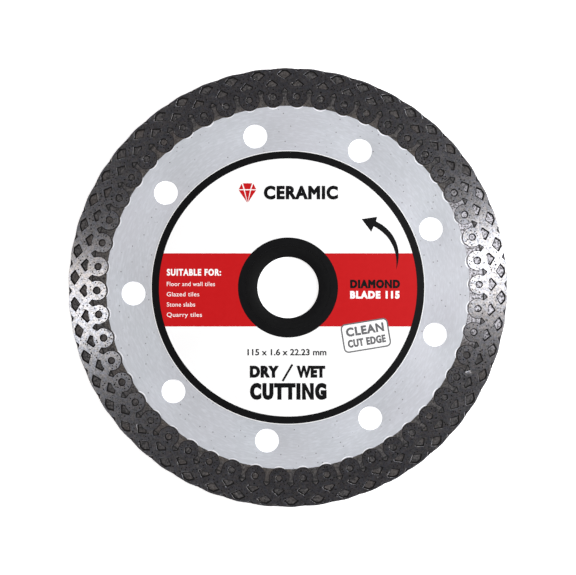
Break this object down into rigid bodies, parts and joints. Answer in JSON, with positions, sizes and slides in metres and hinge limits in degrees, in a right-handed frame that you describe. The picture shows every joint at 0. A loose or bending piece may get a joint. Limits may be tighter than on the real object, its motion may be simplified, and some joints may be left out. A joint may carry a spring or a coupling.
{
  "type": "diamond blade",
  "caption": "Flat steel cutting disc with a raised-mesh diamond rim, round cooling holes, a printed paper label and a reducing ring in its bore.",
  "frame": {"origin": "centre of the disc, halfway between its two faces, on the axis of the bore", "axes": "+Z out of the labelled front face along the bore axis; +Y up on the label and +X to its right"},
  "size_m": [0.115, 0.115, 0.0016],
  "materials": {
    "steel": "ground, with fine circular brushing",
    "sintered_rim": "sintered metal and diamond grit, ground bright on the raised mesh and rough in the windows",
    "label_paper": "coated white paper, printed in black and red",
    "black_plastic": "moulded, matt"
  },
  "bodies": {
    "root": {"steel_core": "steel", "diamond_rim": "sintered_rim", "front_label": "label_paper", "reducing_ring": "black_plastic"}
  },
  "joints": []
}
